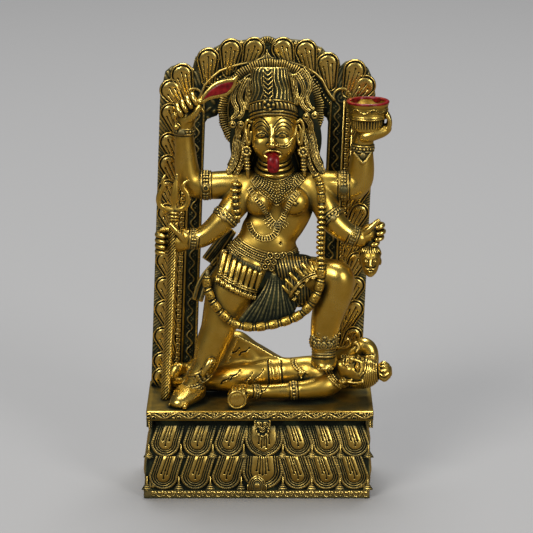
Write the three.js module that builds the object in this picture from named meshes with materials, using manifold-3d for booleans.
// A cast brass group: the standing four-armed goddess with her foot on a reclining figure, on a lotus
// plinth and under an arched frame. Millimetres, +Z up, front towards -Y, origin under the plinth.

import * as THREE from 'three';
import { mergeVertices } from 'three/addons/utils/BufferGeometryUtils.js';
import Module from 'manifold-3d';

const wasm = await Module();
wasm.setup();

// Driving sizes of the base
const deckWidth = 220.5;
const deckDepth = 101.6;
const deckOverhang = 0.2;
const plinthWidth = 220.6;
const plinthDepth = deckDepth - 2 * deckOverhang;
const plinthHeight = 79.5;
const footBandHeight = 8.7;
const lowerRowTop = 42.6;
const upperRowTop = 70.3;
const waistInset = 0.6;
const topInset = 7.2;
const plinthLean = 0.038;
const petalRelief = 1.8;
const fieldRelief = 0.9;
const petalSpacing = 0.8;
const sidePetals = 3;
const frontPetalsBesideCentre = 3;
const lowerCentrePetal = 41;
const upperCentrePetal = 37;
const rowLap = 1.5;
const deckThickness = 9.3;
const deckShift = 3.1;
const deckLip = 1.6;
const deckGroove = 0.9;
const shieldWidth = 16.5;
const shieldDrop = 16;
const shieldAcross = 5.6;
const bracketDrop = 8.2;
const bracketWidth = 5.4;
const bracketDepth = 12;

// Driving sizes of the frame
const frameWidth = 209;
const frameThickness = 14;
const frameRise = 353.5;
const shoulderWidth = 37;
const valleyRise = 322;
const leftShoulderRise = 326.5;
const rightShoulderRise = 331;
const frameLean = 0.04;
const frameBackMargin = 4.8;
const postWidth = 44.5;
const windowSpring = 272;
const windowStep = 11;
const ribHeight = 2.2;
const edgeBandWidth = 2.4;
const edgeBandRelief = 1.4;
const beadBandWidth = 5.4;
const beadBandCentre = 19.3;
const beadBandRelief = 1.9;
const outerBandStart = 24.2;
const capRise = 294;
const capRadius = 10;
const postLobes = 12;
const lowestLobe = 18;
const lobeLength = 18;
const lobeWidth = 13;
const lobePitch = 24.4;
const lobeRelief = 2;

// Driving sizes of the figures: they are posed in millimetres at the modelled height
const modelledHeight = 341;
const figureHeight = 341;
const shaftWidth = 8.4;
const haloRadius = 52.3;
const haloBand = 9.4;
const haloBack = 27.5;
const haloThickness = 7;
const bowlRadius = 20.4;
const bowlWall = 2.2;
const bowlHollow = 12;
const contactGap = 0.3;

const deckBottom = plinthHeight + contactGap;
const deckTop = deckBottom + deckThickness;
const frameBack = deckDepth / 2 - frameBackMargin;
const frameFront = frameBack - frameThickness;
const figureScale = figureHeight / modelledHeight;
const figurePlane = frameFront - ribHeight - contactGap - haloBack * figureScale;

// Facets that stand out by less than this are merged
const sliverSize = 0.1;

// Finishes
const brass = new THREE.MeshStandardMaterial({ color: 0xb08a2e, roughness: 0.32, metalness: 1 });
const darkBrass = new THREE.MeshStandardMaterial({ color: 0x7d6a2c, roughness: 0.45, metalness: 1 });

const vec = (x, y, z) => new THREE.Vector3(x, y, z);

// A closed geometry as a solid that can be joined and cut
function solid(geometry) {
  const bare = geometry.index ? geometry.toNonIndexed() : geometry.clone();
  bare.deleteAttribute('normal');
  bare.deleteAttribute('uv');
  const merged = mergeVertices(bare, 1e-4);
  const vertProperties = new Float32Array(merged.attributes.position.array);
  const triVerts = new Uint32Array(merged.index.array);
  return new wasm.Manifold(new wasm.Mesh({ numProp: 3, vertProperties, triVerts }));
}

function join(solids) {
  let whole = solids[0];
  for (const piece of solids.slice(1)) {
    whole = whole.add(piece);
  }
  return whole;
}

// Hollows that joined limbs close in by chance are filled, as the casting is solid there
function filled(whole) {
  return join(whole.decompose().filter((shell) => shell.volume() > 0));
}

function meshOf(whole, name, material, reshape = (point) => point) {
  const data = filled(whole).simplify(sliverSize).getMesh();
  const geometry = new THREE.BufferGeometry();
  geometry.setAttribute('position', new THREE.BufferAttribute(data.vertProperties.slice(), 3));
  geometry.setIndex(new THREE.BufferAttribute(data.triVerts.slice(), 1));
  const position = geometry.attributes.position;
  const point = new THREE.Vector3();
  for (let i = 0; i < position.count; i += 1) {
    point.fromBufferAttribute(position, i);
    const moved = reshape(point);
    position.setXYZ(i, moved.x, moved.y, moved.z);
  }
  geometry.computeVertexNormals();
  const mesh = new THREE.Mesh(geometry, material);
  mesh.name = name;
  return mesh;
}

// A tube whose rows take their radius from a function
function tube(points, radiusOf, sides, steps, flatness = 1) {
  const curve = new THREE.CatmullRomCurve3(points);
  const frames = curve.computeFrenetFrames(steps);
  const geometry = new THREE.CylinderGeometry(1, 1, 1, sides, steps);
  const position = geometry.attributes.position;
  for (let i = 0; i < position.count; i += 1) {
    const row = Math.round((position.getY(i) + 0.5) * steps);
    const radius = radiusOf(row);
    const spot = curve.getPoint(row / steps);
    spot.addScaledVector(frames.normals[row], position.getX(i) * radius);
    spot.addScaledVector(frames.binormals[row], -position.getZ(i) * radius * flatness);
    position.setXYZ(i, spot.x, spot.y, spot.z);
  }
  return solid(geometry);
}

// A round limb through its points, each point with its own radius
function limb(points, radii, sides = 8, steps = 6, flatness = 1) {
  const widths = new THREE.CatmullRomCurve3(radii.map((radius, i) => vec(i, radius, 0)));
  return tube(points, (row) => widths.getPoint(row / steps).y, sides, steps, flatness);
}

// A string of touching beads: a tube that swells at every second row
function beadString(points, beads, thin, thick, sides = 6) {
  return tube(points, (row) => (row % 2 ? thick : thin), sides, 2 * beads);
}

// A sheet hung between four corners, folded into upright pleats on its face
function pleatedSheet(corners, pleats, relief, thickness) {
  const [topLeft, topRight, lowLeft, lowRight] = corners;
  const geometry = new THREE.BoxGeometry(1, 1, 1, 2 * pleats, 1, 1);
  const position = geometry.attributes.position;
  for (let i = 0; i < position.count; i += 1) {
    const across = position.getX(i) + 0.5;
    const column = Math.round(across * 2 * pleats);
    const top = topLeft.clone().lerp(topRight, across);
    const low = lowLeft.clone().lerp(lowRight, across);
    const spot = low.lerp(top, position.getZ(i) + 0.5);
    const front = position.getY(i) < 0;
    spot.y += front ? -thickness / 2 - (column % 2 ? relief : 0) : thickness / 2;
    position.setXYZ(i, spot.x, spot.y, spot.z);
  }
  return solid(geometry);
}

function ball(centre, radii, across, up) {
  const geometry = new THREE.SphereGeometry(1, across, up);
  geometry.rotateX(Math.PI / 2);
  geometry.scale(radii[0], radii[1], radii[2]);
  geometry.translate(centre.x, centre.y, centre.z);
  return solid(geometry);
}

function box(low, high) {
  const geometry = new THREE.BoxGeometry(high[0] - low[0], high[1] - low[1], high[2] - low[2]);
  geometry.translate((low[0] + high[0]) / 2, (low[1] + high[1]) / 2, (low[2] + high[2]) / 2);
  return solid(geometry);
}

// A flat outline drawn in X and Z, standing between two depths; the low one is its face
function upright(shape, front, back, curveSegments = 6) {
  const settings = { depth: back - front, bevelEnabled: false, curveSegments };
  const geometry = new THREE.ExtrudeGeometry(shape, settings);
  geometry.rotateX(Math.PI / 2);
  geometry.translate(0, back, 0);
  return solid(geometry);
}

function turned(profile, centre, segments = 14) {
  const points = profile.map(([radius, height]) => new THREE.Vector2(radius, height));
  const geometry = new THREE.LatheGeometry(points, segments);
  geometry.rotateX(Math.PI / 2);
  geometry.translate(centre.x, centre.y, centre.z);
  return solid(geometry);
}

// A petal with a square top and a round end, its face towards -Y, with an inner field on it
function petalSolid(width, height, relief, field) {
  const outline = (w, h, lift) => {
    const shape = new THREE.Shape();
    const round = Math.min(w * 0.5, h * 0.7);
    shape.moveTo(-w / 2, lift + h);
    shape.lineTo(-w / 2, lift + round);
    shape.absellipse(0, lift + round, w / 2, round, Math.PI, 2 * Math.PI, false);
    shape.lineTo(w / 2, lift + h);
    shape.closePath();
    return shape;
  };
  const body = upright(outline(width, height, 0), -relief, 1.5 * relief, 3);
  if (!field) {
    return body;
  }
  const inner = upright(outline(width * 0.56, height * 0.72, height * 0.17), -relief - field, 0, 2);
  return body.add(inner);
}

// A block whose four sides step in by the same amounts as it rises
function rectangularTower(halfWidth, halfDepth, levels) {
  const rows = levels.length - 1;
  const geometry = new THREE.BoxGeometry(2, 2, 1, 1, 1, rows);
  const position = geometry.attributes.position;
  for (let i = 0; i < position.count; i += 1) {
    const [inset, height] = levels[Math.round((position.getZ(i) + 0.5) * rows)];
    const x = position.getX(i) * (halfWidth - inset);
    const y = position.getY(i) * (halfDepth - inset);
    position.setXYZ(i, x, y, height);
  }
  return solid(geometry);
}

// Lotus plinth
function lotusPlinth() {
  const halfWidth = plinthWidth / 2;
  const halfDepth = plinthDepth / 2;
  const lowerInset = petalRelief + fieldRelief;
  const body = rectangularTower(halfWidth, halfDepth, [
    [0, 0],
    [0, footBandHeight],
    [lowerInset, footBandHeight + 0.01],
    [lowerInset + waistInset, lowerRowTop],
    [topInset - waistInset, upperRowTop],
    [topInset, upperRowTop + 0.01],
    [topInset, plinthHeight],
  ]);
  const upperInset = lowerInset + waistInset;
  const narrowInset = topInset - waistInset;
  const rows = [
    {
      low: footBandHeight - 1,
      high: lowerRowTop,
      inset: lowerInset,
      topOf: upperInset,
      centre: lowerCentrePetal,
    },
    {
      low: lowerRowTop - rowLap,
      high: upperRowTop,
      inset: upperInset,
      topOf: narrowInset,
      centre: upperCentrePetal,
    },
  ];
  const petals = [];
  for (const row of rows) {
    const height = row.high - row.low;
    const tilt = Math.atan2(row.topOf - row.inset, height);
    const place = (petal, along, halfAcross, turn) => petal
      .rotate([-tilt * 180 / Math.PI, 0, 0])
      .translate([along, -(halfAcross - row.inset), row.low])
      .rotate([0, 0, turn]);
    const usable = 2 * (halfWidth - row.inset);
    const side = (usable - row.centre) / (2 * frontPetalsBesideCentre);
    const middle = petalSolid(row.centre - petalSpacing, height, petalRelief, fieldRelief);
    petals.push(place(middle, 0, halfDepth, 0));
    for (const sign of [-1, 1]) {
      for (let i = 0; i < frontPetalsBesideCentre; i += 1) {
        const along = sign * (row.centre / 2 + side * (i + 0.5));
        const petal = petalSolid(side - petalSpacing, height, petalRelief, fieldRelief);
        petals.push(place(petal, along, halfDepth, 0));
      }
    }
    const sideWidth = 2 * (halfDepth - row.topOf) / sidePetals;
    for (const turn of [90, -90]) {
      for (let i = 0; i < sidePetals; i += 1) {
        const along = (i - (sidePetals - 1) / 2) * sideWidth;
        const petal = petalSolid(sideWidth - petalSpacing, height, petalRelief, 0);
        petals.push(place(petal, along, halfWidth, turn));
      }
    }
  }
  return join([body, ...petals]);
}

function leanPlinth(point) {
  return point.setX(point.x + plinthLean * point.z);
}

// Deck slab with its hanging shield and corner brackets
function deck() {
  const slab = rectangularTower(deckWidth / 2, deckDepth / 2, [
    [0, deckBottom],
    [0, deckBottom + deckLip],
    [deckGroove, deckBottom + deckLip + 0.01],
    [deckGroove, deckTop - deckLip - 0.01],
    [0, deckTop - deckLip],
    [0, deckTop],
  ]).translate([deckShift, 0, 0]);
  const half = shieldWidth / 2;
  const shield = new THREE.Shape();
  shield.moveTo(-half, deckBottom + 1);
  shield.lineTo(-half, deckBottom - shieldDrop * 0.55);
  shield.quadraticCurveTo(-half, deckBottom - shieldDrop, 0, deckBottom - shieldDrop);
  shield.quadraticCurveTo(half, deckBottom - shieldDrop, half, deckBottom - shieldDrop * 0.55);
  shield.lineTo(half, deckBottom + 1);
  const front = -deckDepth / 2;
  const shieldSolid = upright(shield, front + 0.4, front + 3.2, 4).translate([shieldAcross, 0, 0]);
  const brackets = [-1, 1].map((side) => {
    const outer = deckShift + side * deckWidth / 2;
    const plinthSide = side * (plinthWidth / 2 - topInset) + plinthLean * plinthHeight;
    const inner = outer - side * Math.min(bracketWidth, Math.abs(outer - plinthSide) - contactGap);
    const low = [Math.min(outer, inner), front, deckBottom - bracketDrop];
    const high = [Math.max(outer, inner), front + bracketDepth, deckBottom + 1];
    return box(low, high);
  });
  return join([slab, shieldSolid, ...brackets]);
}

// Arched frame, drawn upright and then leaned to the right
const halfFrame = frameWidth / 2;
const archCorner = halfFrame - shoulderWidth;

function frameOutline() {
  const shape = new THREE.Shape();
  const low = deckTop + contactGap;
  const shoulder = (side, rise) => {
    const centre = side * (halfFrame - shoulderWidth / 2);
    const start = side < 0 ? Math.PI : 0.85 * Math.PI;
    const end = side < 0 ? 0.15 * Math.PI : 0;
    shape.absellipse(centre, deckTop + rise - 17, shoulderWidth / 2, 17, start, end, true);
  };
  shape.moveTo(-halfFrame, low);
  shape.lineTo(-halfFrame, deckTop + leftShoulderRise - 17);
  shoulder(-1, leftShoulderRise);
  shape.lineTo(-archCorner, deckTop + valleyRise);
  const top = deckTop + frameRise;
  shape.quadraticCurveTo(-archCorner + 2, top - 11, -archCorner * 0.55, top - 4.5);
  shape.quadraticCurveTo(-archCorner * 0.25, top - 3, -7, top - 2.5);
  shape.lineTo(-2.5, top);
  shape.lineTo(3, top - 2.5);
  shape.lineTo(archCorner * 0.55, top - 3.5);
  shape.quadraticCurveTo(archCorner - 10, top - 8, archCorner - 1, deckTop + valleyRise);
  shoulder(1, rightShoulderRise);
  shape.lineTo(halfFrame, low);
  const inner = halfFrame - postWidth;
  const spring = deckTop + windowSpring;
  const archRadius = inner - windowStep;
  shape.lineTo(inner, low);
  shape.lineTo(inner, spring);
  shape.lineTo(archRadius, spring + 4);
  shape.absellipse(0, spring + 4, archRadius, archRadius * 0.9, 0, Math.PI, false);
  shape.lineTo(-inner, spring);
  shape.lineTo(-inner, low);
  shape.closePath();
  return shape;
}

function leanFrame(point) {
  return point.set(point.x + frameLean * (point.z - deckTop) - 1, point.y, point.z);
}

// A lobe is a low drop with its round head outwards
function lobe(x, z, turn, length = lobeLength, width = lobeWidth) {
  const shape = new THREE.Shape();
  shape.moveTo(-width / 2, -length / 2);
  shape.lineTo(width / 2, -length / 2);
  shape.lineTo(width / 2, 0);
  shape.absellipse(0, 0, width / 2, length / 2, 0, Math.PI, false);
  shape.closePath();
  return upright(shape, frameFront - lobeRelief, frameFront + 1, 3)
    .rotate([0, turn * 180 / Math.PI, 0])
    .translate([x, 0, z]);
}

function archedFrame() {
  const pieces = [upright(frameOutline(), frameFront, frameBack, 5)];
  const inner = halfFrame - postWidth;
  const bandFoot = deckTop + contactGap;
  const capHeight = deckTop + capRise;
  const beadStart = beadBandCentre - beadBandWidth / 2;
  for (const side of [-1, 1]) {
    const strip = (from, to, relief) => {
      const edges = [side * (inner + from), side * (inner + to)];
      const low = [Math.min(...edges), frameFront - relief, bandFoot];
      const high = [Math.max(...edges), frameFront + 1, capHeight];
      return box(low, high);
    };
    pieces.push(strip(0, edgeBandWidth, edgeBandRelief));
    pieces.push(strip(beadStart, beadStart + beadBandWidth, beadBandRelief));
    pieces.push(strip(outerBandStart, outerBandStart + edgeBandWidth, edgeBandRelief));
    const cap = new THREE.Shape();
    cap.absellipse(side * (inner + 18), capHeight - 1, capRadius, capRadius, 0, Math.PI, false);
    pieces.push(upright(cap, frameFront - ribHeight, frameFront + 1, 5));
    for (let i = 0; i < postLobes; i += 1) {
      const height = deckTop + lowestLobe + i * lobePitch;
      pieces.push(lobe(side * (halfFrame - 9.8), height, side * 0.35));
    }
    const shoulderTop = side < 0 ? leftShoulderRise : rightShoulderRise;
    pieces.push(lobe(side * (halfFrame - 20), deckTop + shoulderTop - 14, side * 0.3, 22, 14));
    pieces.push(lobe(side * 51, deckTop + frameRise - 27, side * 0.55, 22, 15));
    pieces.push(lobe(side * 30, deckTop + frameRise - 17, side * 0.3, 20, 15));
    pieces.push(lobe(side * 11, deckTop + frameRise - 15, side * 0.1, 18, 13));
  }
  const rib = [
    vec(-inner - 6, frameFront, deckTop + 292),
    vec(-inner + 7, frameFront, deckTop + 314),
    vec(-inner + 24, frameFront, deckTop + 325),
    vec(-inner + 46, frameFront, deckTop + 329),
    vec(-2.4, frameFront, deckTop + 333),
    vec(inner - 46, frameFront, deckTop + 329),
    vec(inner - 24, frameFront, deckTop + 325),
    vec(inner - 7, frameFront, deckTop + 314),
    vec(inner + 6, frameFront, deckTop + 292),
  ];
  pieces.push(limb(rib, rib.map(() => ribHeight), 5, 12));
  return join(pieces);
}

// Everything below is posed above the deck, at the modelled height
function torso() {
  const levels = [
    { z: 226, x: 18, rx: 12, ry: 11, y: 0 },
    { z: 219, x: 20, rx: 17, ry: 12, y: 1 },
    { z: 214, x: 23, rx: 37, ry: 13, y: 2 },
    { z: 203, x: 21, rx: 38, ry: 15, y: 1 },
    { z: 193, x: 18.5, rx: 32, ry: 16, y: 0 },
    { z: 181, x: 16, rx: 29, ry: 14, y: 0 },
    { z: 168, x: 9, rx: 27, ry: 14, y: 0 },
    { z: 156, x: 6, rx: 32, ry: 16, y: 0 },
    { z: 143, x: 6, rx: 36, ry: 18, y: 0 },
    { z: 128, x: 8, rx: 33, ry: 18, y: 0 },
    { z: 116, x: 8, rx: 18, ry: 14, y: 0 },
  ];
  const rows = levels.length - 1;
  const geometry = new THREE.CylinderGeometry(1, 1, 1, 11, rows);
  const position = geometry.attributes.position;
  for (let i = 0; i < position.count; i += 1) {
    const level = levels[Math.round((0.5 - position.getY(i)) * rows)];
    const x = level.x + position.getX(i) * level.rx;
    const y = level.y - position.getZ(i) * level.ry;
    position.setXYZ(i, x, y, level.z);
  }
  return solid(geometry);
}

function head() {
  const pieces = [
    ball(vec(17, -3, 260), [22.5, 21, 27], 11, 8),
    ball(vec(16, -22, 254), [4.2, 5, 8], 5, 3),
    ball(vec(16, -21, 236), [7, 3.6, 14], 5, 4),
    limb([vec(17, 2, 218), vec(17, 1, 246)], [15, 13], 10, 1),
    turned([[0, 283], [24, 283], [25, 289], [21.5, 294], [19.5, 311], [16.5, 324], [12.5, 336],
      [0, modelledHeight]], vec(17, 2, 0), 11),
    ball(vec(11, -20, 294), [8, 5, 7], 5, 3),
  ];
  for (const side of [-1, 1]) {
    const ear = 17 + side * 25;
    const curl = [vec(17 + side * 20, 6, 294), vec(17 + side * 31, 10, 316), vec(17 + side * 36, 12, 292),
      vec(17 + side * 28, 10, 272)];
    const hair = [vec(17 + side * 24, 10, 266), vec(17 + side * 31, 11, 244), vec(17 + side * 40, 7, 224)];
    pieces.push(
      limb([vec(ear, -1, 276), vec(ear, -2, 262), vec(ear + side, -4, 243), vec(ear + side, -5, 219)],
        [3, 4.4, 5.5, 2.6], 5, 5),
      limb(curl, [6, 6.5, 6, 3.5], 5, 4),
      limb(hair, [9, 9.5, 7], 6, 2),
    );
  }
  return join(pieces);
}

function halo() {
  const centre = [14, 281];
  const ridges = 24;
  const rim = new THREE.Shape();
  for (let i = 0; i <= ridges; i += 1) {
    const angle = -0.22 * Math.PI + i * 1.44 * Math.PI / ridges;
    const radius = haloRadius - (i % 2 ? 1.5 : 0);
    const x = centre[0] + radius * Math.cos(angle);
    const z = centre[1] + radius * Math.sin(angle);
    if (i === 0) {
      rim.moveTo(x, z);
    } else {
      rim.lineTo(x, z);
    }
  }
  rim.closePath();
  const disc = upright(rim, haloBack - haloThickness, haloBack);
  const hollow = new THREE.Shape();
  hollow.absellipse(centre[0], centre[1], haloRadius - haloBand, haloRadius - haloBand, 0, 2 * Math.PI, false);
  return disc.subtract(upright(hollow, haloBack - haloThickness - 1, haloBack - haloThickness + 2, 10));
}

function torsoOrnaments() {
  return join([
    ball(vec(0, -14, 199), [13.5, 12, 13], 8, 5),
    ball(vec(37, -14, 199), [13.5, 12, 13], 8, 5),
    limb([vec(1, -8, 222), vec(4, -15, 210), vec(19, -18, 199), vec(34, -15, 210), vec(37, -8, 222)],
      [5, 6, 7, 6, 5], 5, 6, 0.6),
    limb([vec(-27, -8, 162), vec(-8, -17, 150), vec(14, -20, 144), vec(36, -12, 146)], [5, 6, 6, 5], 5, 3, 0.7),
    ball(vec(14, -20, 139), [8, 6, 7], 5, 4),
    pleatedSheet([vec(6, -20, 140), vec(22, -20, 140), vec(-12, -24, 80), vec(32, -26, 80)], 5, 2.4, 5),
  ]);
}

// The skirt of severed arms hangs as two rows of bars over the thighs
function skirt() {
  return join([
    pleatedSheet([vec(-31, -14, 152), vec(7, -24, 134), vec(-47, -25, 122), vec(0, -30, 108)], 6, 3, 5),
    pleatedSheet([vec(24, -24, 132), vec(54, -26, 140), vec(30, -35, 102), vec(60, -36, 118)], 5, 3, 5),
  ]);
}

function garland() {
  const run = [
    vec(60, -6, 222), vec(66, -13, 210), vec(63, -17, 190), vec(63, -26, 160), vec(64, -36, 140),
    vec(62, -37, 122), vec(54, -36, 104), vec(38, -34, 91), vec(18, -33, 82), vec(0, -32, 77),
    vec(-20, -31, 79), vec(-35, -30, 88), vec(-45, -27, 98), vec(-49, -21, 112), vec(-48, -15, 128),
  ];
  const left = [
    vec(-14, -6, 218), vec(-21, -12, 208), vec(-20, -12, 194), vec(-21, -12, 176), vec(-28, -10, 160),
  ];
  return join([beadString(run, 20, 2.8, 4.6, 4), beadString(left, 6, 2.6, 4, 4)]);
}

// Arms are told apart by the side of the picture and by whether they are raised
function armsAndHands() {
  const pieces = [
    limb([vec(-6, 3, 211), vec(-40, 4, 211), vec(-66, 5, 211), vec(-69, 4, 232), vec(-70, 2, 262),
      vec(-68, 0, 272)], [13, 13, 11.5, 10.5, 8, 7.5], 7, 7),
    ball(vec(-65, -2, 285), [11.5, 10, 15], 7, 5),
    limb([vec(62, 3, 213), vec(90, 4, 210), vec(101, 5, 208), vec(102.5, 4, 226), vec(101.5, 3, 249),
      vec(104, 2, 262)], [12, 12, 11, 12, 9.5, 10], 7, 7),
    ball(vec(107, 0, 264), [17, 13, 8], 7, 4),
    limb([vec(122, -2, 262), vec(126, -4, 272), vec(128, -4, 283)], [4, 3.4, 2.4], 5, 2),
    limb([vec(-5, 0, 212), vec(-18, -6, 198), vec(-31, -12, 183), vec(-45, -13, 168), vec(-58, -13, 161),
      vec(-71, -13, 165)], [12, 12, 10.5, 9, 7.5, 7], 7, 5),
    ball(vec(-78, -13, 166), [13, 11, 12.5], 7, 5),
    limb([vec(56, 0, 213), vec(66, -6, 196), vec(73, -12, 181), vec(84, -14, 171), vec(94, -14, 165),
      vec(101, -15, 163)], [12, 11.5, 10.5, 9, 7.5, 7], 7, 5),
    ball(vec(105, -15, 166), [10, 9, 9], 5, 4),
    limb([vec(108, -17, 170), vec(115, -17, 182)], [4, 2.4], 5, 1),
    limb([vec(110, -15, 163), vec(119, -18, 167), vec(118, -20, 158)], [4.5, 4.5, 4], 5, 2),
    limb([vec(109, -15, 160), vec(110, -15, 150)], [4, 7], 6, 1),
    ball(vec(110, -15, 140), [10, 10, 15.5], 7, 5),
  ];
  const band = (x, y, z, radius, turn) => {
    const ring = new THREE.CylinderGeometry(radius, radius, 6, 6);
    if (turn) {
      ring.rotateX(Math.PI / 2);
    } else {
      ring.rotateZ(Math.PI / 2);
    }
    ring.translate(x, y, z);
    pieces.push(solid(ring));
  };
  band(-49, 4, 211, 14.8, false);
  band(-70, 2, 258, 10.8, true);
  band(85, 4, 210, 14.2, false);
  band(102, 3, 249, 12.4, true);
  return join(pieces);
}

function bowl() {
  const centre = vec(107, 0, 0);
  const rim = 297;
  const outside = turned([[0, 267], [15, 267], [14.4, 273], [15, 280], [17.5, 284], [bowlRadius - 1.2, 290],
    [bowlRadius, rim - 3], [bowlRadius, rim], [0, rim]], centre, 11);
  const inside = turned([[0, rim - bowlHollow], [bowlRadius - bowlWall - 2.5, rim - bowlHollow],
    [bowlRadius - bowlWall, rim - bowlHollow + 4], [bowlRadius - bowlWall, rim + 2], [0, rim + 2]], centre, 11);
  return { outside, inside };
}

function sword() {
  const blade = new THREE.Shape();
  blade.moveTo(-58, 296);
  blade.lineTo(-52, 304);
  blade.quadraticCurveTo(-44, 315, -32, 314);
  blade.quadraticCurveTo(-24, 316, -19, 322);
  blade.quadraticCurveTo(-20, 312, -28, 305);
  blade.quadraticCurveTo(-40, 302, -52, 297);
  blade.closePath();
  const guard = limb([vec(-61, -4, 303), vec(-55, -4, 298), vec(-51, -4, 292)], [2.6, 3, 2.6], 5, 2);
  const grip = limb([vec(-66, -3, 286), vec(-52, -4, 300)], [3, 3], 6, 1);
  return join([upright(blade, -5.5, -2.5, 3), guard, grip]);
}

function legs() {
  const pieces = [
    limb([vec(0, 0, 136), vec(-13, -3, 124), vec(-25, -5, 110), vec(-33, -9, 88), vec(-38, -11, 72),
      vec(-46, -14, 50), vec(-52, -17, 34), vec(-62, -20, 18), vec(-64, -20, 9)],
    [20, 24, 23, 18, 16, 13.5, 11, 9.5, 9.5], 8, 9),
    limb([vec(18, 0, 128), vec(38, -8, 124), vec(58, -18, 126), vec(76, -26, 130), vec(80, -27, 126),
      vec(78, -26, 112), vec(69, -23, 94), vec(65, -20, 70), vec(65, -19, 52), vec(66, -17, 42)],
    [18, 18, 17, 14, 14, 14.5, 15, 13, 11.5, 9], 8, 11),
    limb([vec(-62, -16, 8), vec(-68, -27, 9), vec(-75, -38, 6), vec(-77, -46, 3)], [10, 10.5, 8, 4],
      7, 3, 1.35),
    ball(vec(66, -16, 42), [10, 11, 8], 7, 4),
    limb([vec(66, -16, 42), vec(66, -26, 39), vec(66, -32, 37)], [8, 6.5, 3.6], 7, 2, 1.4),
    ball(vec(-52, -31, 38), [5, 6, 9], 5, 3),
    ball(vec(66, -32, 66), [6, 6, 12], 5, 3),
  ];
  for (const [x, y, z, radius] of [[-64, -22, 18, 12], [65, -19, 53, 13.5]]) {
    const band = new THREE.CylinderGeometry(radius, radius, 7, 7);
    band.rotateX(Math.PI / 2);
    band.translate(x, y, z);
    pieces.push(solid(band));
  }
  return join(pieces);
}

// The sole of the raised foot, and the shaft through the fist
const raisedSole = 35;
const shaftFoot = vec(-90, -13, 0);
const shaftTop = vec(-79.5, -13, 193);
const shaftPoint = (height) => shaftFoot.clone().lerp(shaftTop, height / shaftTop.z);
const twistPerMillimetre = 0.14;
const slotGap = 0.1;

function kaliFigure() {
  const vessel = bowl();
  const whole = join([torso(), head(), halo(), torsoOrnaments(), skirt(), garland(), armsAndHands(), sword(),
    legs(), vessel.outside]).subtract(vessel.inside);
  const holeRadius = shaftWidth / 2 + contactGap + slotGap;
  const shaftHole = limb([shaftPoint(120), shaftPoint(196)], [holeRadius, holeRadius], 8, 1);
  const underFoot = box([45, -50, raisedSole - 30], [90, 5, raisedSole]);
  const underDeck = box([-110, -60, -30], [110, 60, 0]);
  return whole.subtract(shaftHole).subtract(underFoot).subtract(underDeck);
}

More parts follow.
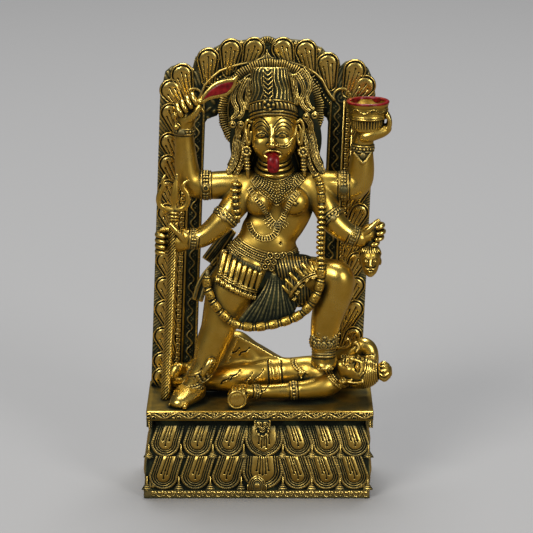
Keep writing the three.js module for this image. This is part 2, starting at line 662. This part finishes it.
// Reclining figure, lying on its back with the head to the right
function recliningFigure() {
  const cloth = new THREE.Shape();
  cloth.moveTo(-24, 62);
  cloth.lineTo(-18, 61);
  cloth.lineTo(26, 35);
  cloth.lineTo(26, 12);
  cloth.lineTo(-40, 8);
  cloth.lineTo(-46, 28);
  cloth.closePath();
  const pieces = [
    limb([vec(-4, 2, 22), vec(13, 2, 23), vec(35, 1, 24), vec(58, 0, 24), vec(76, -2, 22),
      vec(84, -3, 20)], [13, 13.5, 14, 15, 15, 9], 8, 5),
    limb([vec(0, 2, 19), vec(-20, 4, 17), vec(-40, 5, 15)], [14, 13.5, 9], 8, 3),
    upright(cloth, 2, 17, 2),
    limb([vec(4, 11, 26), vec(-8, 11, 44), vec(-21, 11, 56), vec(-34, 13, 47), vec(-52, 15, 33),
      vec(-68, 16, 20)], [12, 11, 7.5, 8, 8, 7], 6, 6),
    limb([vec(-70, 15, 22), vec(-78, 12, 26), vec(-84, 10, 14), vec(-84, 10, 4)], [6, 8, 7, 5], 5, 3),
    ball(vec(97, -20, 33), [19, 14.5, 14], 8, 6),
    ball(vec(105, -19, 28), [16, 16.5, 17.5], 8, 6),
    ball(vec(125, -18, 31), [10, 9, 10], 6, 4),
    limb([vec(80, -10, 24), vec(94, -18, 30)], [10, 9], 7, 1),
    ball(vec(88, -28, 40), [3, 5, 3.5], 5, 4),
    limb([vec(78, 8, 30), vec(92, 8, 41), vec(105, 8, 49), vec(112, 6, 44), vec(113, 3, 32)],
      [9, 8.5, 8, 8, 7], 6, 5),
    limb([vec(80, -12, 18), vec(70, -20, 15), vec(44, -23, 11), vec(13, -25, 11), vec(-8, -29, 12),
      vec(-17, -32, 13)], [11, 13, 9, 7, 5.5, 6], 7, 5),
    ball(vec(-21, -34, 13), [8, 6, 6.5], 6, 4),
  ];
  const drum = new THREE.CylinderGeometry(9, 9, 14, 10);
  drum.translate(-19, -39, 9.3);
  pieces.push(solid(drum));
  const underFoot = box([45, -50, raisedSole - contactGap], [90, 5, raisedSole + 30]);
  const underDeck = box([-110, -60, -30], [140, 60, 0]);
  return join(pieces).subtract(underDeck).subtract(underFoot);
}

// Trident: a twisted square rod with a collar and three points
function trident() {
  const half = shaftWidth / 2;
  const length = shaftTop.z;
  const rod = new THREE.CylinderGeometry(half, half, length, 4, 16);
  const position = rod.attributes.position;
  for (let i = 0; i < position.count; i += 1) {
    const height = position.getY(i) + length / 2;
    const angle = height * twistPerMillimetre;
    const x = position.getX(i) * Math.cos(angle) - position.getZ(i) * Math.sin(angle);
    const y = position.getX(i) * Math.sin(angle) + position.getZ(i) * Math.cos(angle);
    const spot = shaftPoint(height);
    position.setXYZ(i, spot.x + x, spot.y - y, spot.z);
  }
  const collar = shaftPoint(187);
  const prong = (tip, bend) => limb([shaftPoint(192), bend, tip], [2.6, 2.4, 0.8], 5, 3);
  return join([
    solid(rod),
    ball(collar, [5.4, 5.4, 4], 6, 4),
    prong(vec(-84, -13, 223), vec(-91, -13, 207)),
    prong(vec(-75, -13, 226), vec(-77, -13, 209)),
    prong(vec(-65, -13, 219), vec(-66, -13, 206)),
  ]);
}

const figures = new THREE.Group();
figures.scale.setScalar(figureScale);
figures.position.set(0, figurePlane, deckTop + contactGap);
figures.add(meshOf(kaliFigure(), 'kali_figure', brass));
figures.add(meshOf(recliningFigure(), 'reclining_figure', brass));
figures.add(meshOf(trident(), 'trident', darkBrass));

const model = new THREE.Group();
model.add(meshOf(lotusPlinth(), 'lotus_plinth', darkBrass, leanPlinth));
model.add(meshOf(deck(), 'deck', brass));
model.add(meshOf(archedFrame(), 'arch_frame', darkBrass, leanFrame));
model.add(figures);

export default model;
